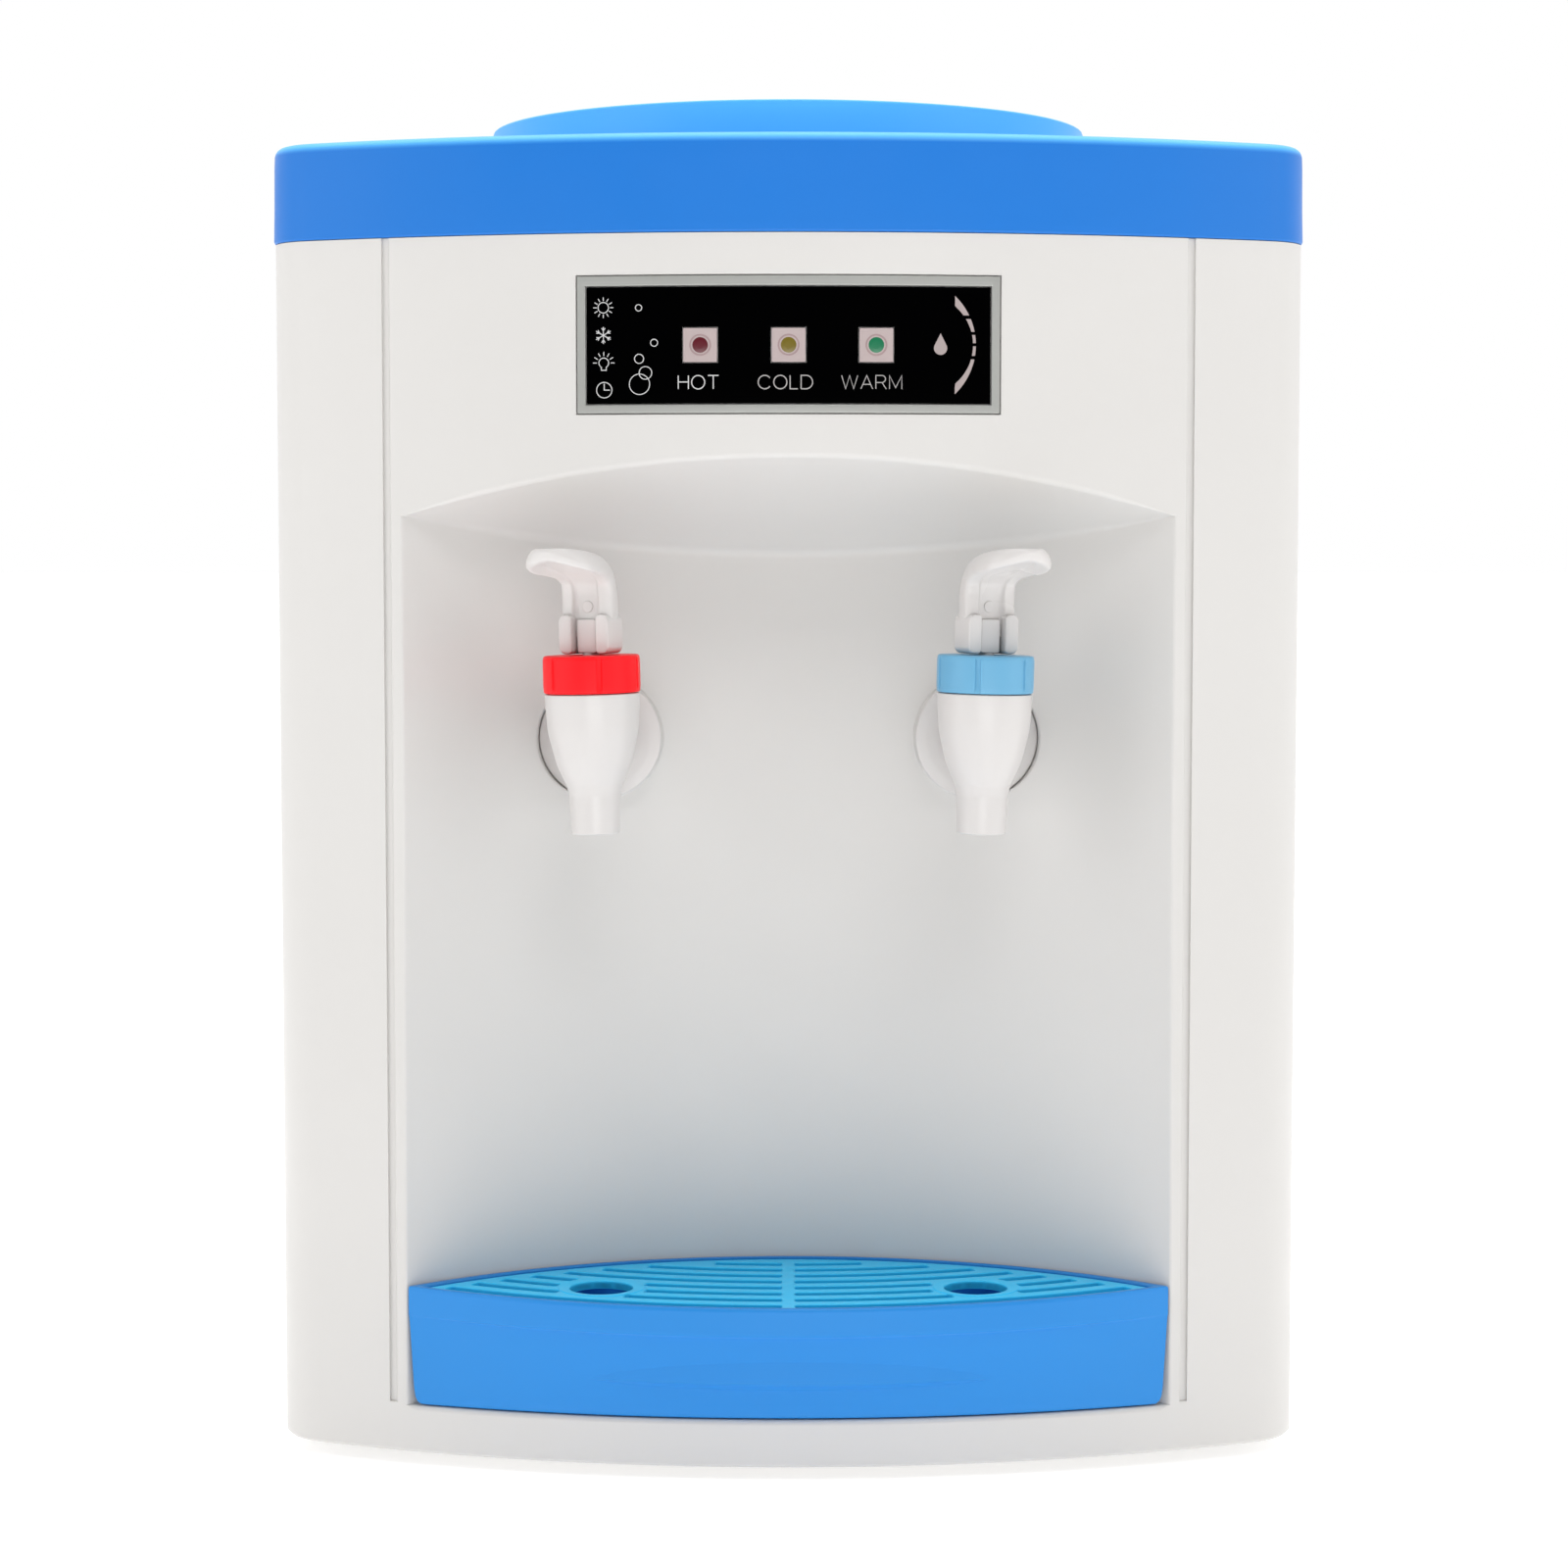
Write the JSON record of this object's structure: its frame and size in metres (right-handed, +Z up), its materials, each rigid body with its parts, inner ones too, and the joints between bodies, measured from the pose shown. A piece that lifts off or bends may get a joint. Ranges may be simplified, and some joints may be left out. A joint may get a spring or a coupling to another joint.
{
  "type": "countertop water dispenser",
  "caption": "Countertop water dispenser with hot and cold taps in an arched niche, a slide-out drip tray with grille, and a bottle collar on top.",
  "frame": {"origin": "on the table, below the middle of the bounding box", "axes": "+Z up, the taps and the drip tray face -Y, +X is to the right of someone who faces them"},
  "size_m": [0.3044, 0.2932, 0.4014],
  "materials": {
    "white_plastic": "warm white moulded ABS, satin gloss",
    "lid_blue": "mid blue moulded ABS, satin gloss",
    "tray_blue": "lighter blue moulded ABS, satin gloss",
    "seat_white": "food grade white plastic",
    "tap_white": "bright white moulded plastic, glossy",
    "hot_red": "red moulded plastic",
    "cold_blue": "light blue moulded plastic",
    "lens_black": "polished black acrylic",
    "bezel_silver": "silver-grey painted frame",
    "lamp_white": "translucent white light guide",
    "steel": "stainless steel",
    "aluminium": "bare aluminium",
    "foam": "rigid insulating foam",
    "silicone": "translucent silicone",
    "rubber": "black rubber",
    "black_plastic": "black moulded plastic",
    "board_green": "green circuit board",
    "ceramic": "white ceramic plates"
  },
  "bodies": {
    "case": {"base_plate": "white_plastic", "front_shell": "white_plastic", "rear_shell": "white_plastic", "rear_cover": "white_plastic", "foot_front_left": "rubber", "foot_front_right": "rubber", "foot_rear_left": "rubber", "foot_rear_right": "rubber", "top_cover": "lid_blue", "display_bezel": "bezel_silver", "display_lens": "lens_black", "display_board": "board_green", "lamp_window_hot": "lamp_white", "lamp_window_cold": "lamp_white", "lamp_window_warm": "lamp_white", "cold_tank": "steel", "cold_tank_lid": "seat_white", "cold_tank_foam": "foam", "tank_baffle": "seat_white", "cold_block": "aluminium", "peltier_module": "ceramic", "heat_sink": "aluminium", "fan_frame": "black_plastic", "hot_tank": "steel", "heater_band": "steel", "hot_tank_thermostat": "black_plastic", "hot_tank_bracket": "steel", "cold_hose": "silicone", "hot_hose": "silicone", "hot_feed_hose": "silicone", "drain_hose": "silicone", "power_board": "board_green", "switch_bezel": "black_plastic", "cord_gland": "black_plastic", "hot_tap_body": "tap_white", "hot_tap_cap": "hot_red", "hot_tap_spring": "steel", "hot_tap_flange": "tap_white", "hot_tap_nut": "tap_white", "cold_tap_body": "tap_white", "cold_tap_cap": "cold_blue", "cold_tap_spring": "steel", "cold_tap_flange": "tap_white", "cold_tap_nut": "tap_white"},
    "bottle_seat": {"bottle_seat": "seat_white", "bottle_probe": "seat_white"},
    "drip_tray": {"drip_tray": "tray_blue"},
    "drip_grille": {"drip_grille": "tray_blue"},
    "hot_switch": {"hot_switch": "hot_red"},
    "cold_switch": {"cold_switch": "cold_blue"},
    "fan_rotor": {"fan_rotor": "black_plastic"},
    "drain_plug": {"drain_plug": "black_plastic"},
    "hot_stem": {"hot_tap_stem": "tap_white", "hot_tap_pin": "steel", "hot_tap_plunger": "silicone"},
    "hot_lever": {"hot_tap_lever": "tap_white"},
    "cold_stem": {"cold_tap_stem": "tap_white", "cold_tap_pin": "steel", "cold_tap_plunger": "silicone"},
    "cold_lever": {"cold_tap_lever": "tap_white"}
  },
  "joints": [
    {"name": "hot_stem_lift", "type": "slide", "parent": "case", "child": "hot_stem", "axis": [-0.0227, 0, 0.9997], "range_m": [0, 0.00335], "deforming": ["hot_tap_spring"]},
    {"name": "hot_lever_press", "type": "hinge", "parent": "hot_stem", "child": "hot_lever", "pos_m": [-0.05713, -0.1205, 0.24549], "axis": [0.9061, -0.4226, 0.0206], "range_deg": [0, 35], "stiffness_Nm_per_rad": 0.1, "springref_deg": -17.19},
    {"name": "cold_stem_lift", "type": "slide", "parent": "case", "child": "cold_stem", "axis": [0.0227, 0, 0.9997], "range_m": [0, 0.00335], "deforming": ["cold_tap_spring"]},
    {"name": "cold_lever_press", "type": "hinge", "parent": "cold_stem", "child": "cold_lever", "pos_m": [0.05713, -0.1205, 0.24549], "axis": [0.9061, 0.4226, -0.0206], "range_deg": [0, 35], "stiffness_Nm_per_rad": 0.1, "springref_deg": -17.19},
    {"name": "bottle_seat_lift", "type": "slide", "parent": "case", "child": "bottle_seat", "axis": [0, 0, 1], "range_m": [0, 0.06]},
    {"name": "drip_tray_slide", "type": "slide", "parent": "case", "child": "drip_tray", "axis": [0, -1, 0], "range_m": [0, 0.08]},
    {"name": "drip_grille_lift", "type": "slide", "parent": "drip_tray", "child": "drip_grille", "axis": [0, 0, 1], "range_m": [0, 0.05]},
    {"name": "hot_switch_rock", "type": "hinge", "parent": "case", "child": "hot_switch", "pos_m": [-0.0805, 0.1385, 0.07], "axis": [1, 0, 0], "range_deg": [-16, 0]},
    {"name": "cold_switch_rock", "type": "hinge", "parent": "case", "child": "cold_switch", "pos_m": [-0.0595, 0.1385, 0.07], "axis": [1, 0, 0], "range_deg": [-16, 0]},
    {"name": "fan_spin", "type": "hinge", "parent": "case", "child": "fan_rotor", "pos_m": [0, 0.118, 0.285], "axis": [0, 1, 0], "continuous": true},
    {"name": "drain_plug_pull", "type": "slide", "parent": "case", "child": "drain_plug", "axis": [0, 1, 0], "range_m": [0, 0.02]}
  ],
  "couplings": [
    {"joint": "hot_lever_press", "follows": "hot_stem_lift", "rad_per_m": 182},
    {"joint": "cold_lever_press", "follows": "cold_stem_lift", "rad_per_m": 182}
  ]
}
